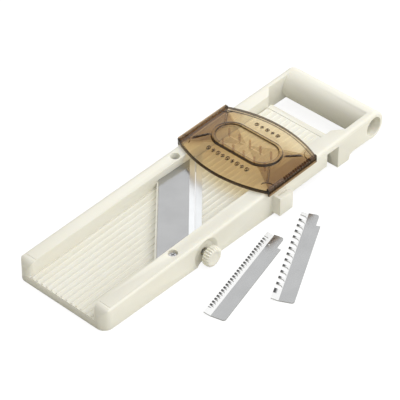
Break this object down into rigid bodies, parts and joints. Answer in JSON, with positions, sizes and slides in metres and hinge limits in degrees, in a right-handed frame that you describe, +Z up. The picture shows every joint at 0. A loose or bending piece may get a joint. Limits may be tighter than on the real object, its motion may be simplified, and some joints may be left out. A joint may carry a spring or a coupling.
{
  "type": "mandoline slicer",
  "caption": "Handheld mandoline slicer with a diagonal blade, an adjustable run-in plate, a side clamp knob, a clear hand guard and two comb blades lying beside it.",
  "frame": {"origin": "middle of the front wall's foot, on the table", "axes": "+X from the front edge to the grip, +Y to the side away from the knob, +Z up from the table"},
  "size_m": [0.3208, 0.179, 0.035],
  "materials": {
    "ivory": "satin",
    "polished_steel": "polished",
    "steel": "satin",
    "brass": "satin",
    "amber": "gloss"
  },
  "bodies": {
    "frame": {"body": "ivory", "main_blade": "polished_steel", "blade_screws": "steel", "blade_nuts": "brass", "side_insert": "brass", "bridge_bar": "ivory", "bridge_screws": "steel", "adjuster_insert": "brass", "hinge_pin": "steel"},
    "plate": {"run_in_plate": "ivory", "plate_lip": "polished_steel"},
    "clamp_stud": {"side_stud": "steel"},
    "clamp_knob": {"side_knob": "ivory"},
    "stud": {"adjuster_stud": "steel", "adjuster_foot": "ivory"},
    "wheel": {"adjuster_wheel": "ivory"},
    "hand_guard": {"guard": "amber", "guard_spikes": "steel"},
    "comb_medium": {"medium_comb": "polished_steel"},
    "comb_coarse": {"coarse_comb": "polished_steel"}
  },
  "joints": [
    {"name": "wheel_turn", "type": "hinge", "parent": "stud", "child": "wheel", "pos_m": [0.20375, 0, 0.004], "axis": [0, 0, 1], "range_deg": [-960, 520]},
    {"name": "stud_travel", "type": "slide", "parent": "frame", "child": "stud", "axis": [0, 0, 1], "range_m": [-0.00213, 0.00115]},
    {"name": "plate_tilt", "type": "hinge", "parent": "frame", "child": "plate", "pos_m": [0.2608, 0, 0.0126], "axis": [0, 1, 0], "range_deg": [-2.15, 1.2]},
    {"name": "knob_turn", "type": "hinge", "parent": "clamp_stud", "child": "clamp_knob", "pos_m": [0.10775, -0.052, 0.0088], "axis": [0, 1, 0], "range_deg": [-540, 90]},
    {"name": "clamp_travel", "type": "slide", "parent": "frame", "child": "clamp_stud", "axis": [0, 1, 0], "range_m": [-0.00105, 0.00017]},
    {"name": "guard_slide", "type": "slide", "parent": "frame", "child": "hand_guard", "axis": [0.9995, 0, 0.0318], "range_m": [-0.15, 0.02]},
    {"name": "medium_lift", "type": "slide", "parent": "frame", "child": "comb_medium", "axis": [0, 0, 1], "range_m": [0, 0.06]},
    {"name": "coarse_lift", "type": "slide", "parent": "frame", "child": "comb_coarse", "axis": [0, 0, 1], "range_m": [0, 0.06]}
  ],
  "couplings": [
    {"joint": "wheel_turn", "follows": "stud_travel", "rad_per_m": 7854},
    {"joint": "plate_tilt", "follows": "stud_travel", "rad_per_m": 17.528},
    {"joint": "knob_turn", "follows": "clamp_travel", "rad_per_m": 8976}
  ]
}
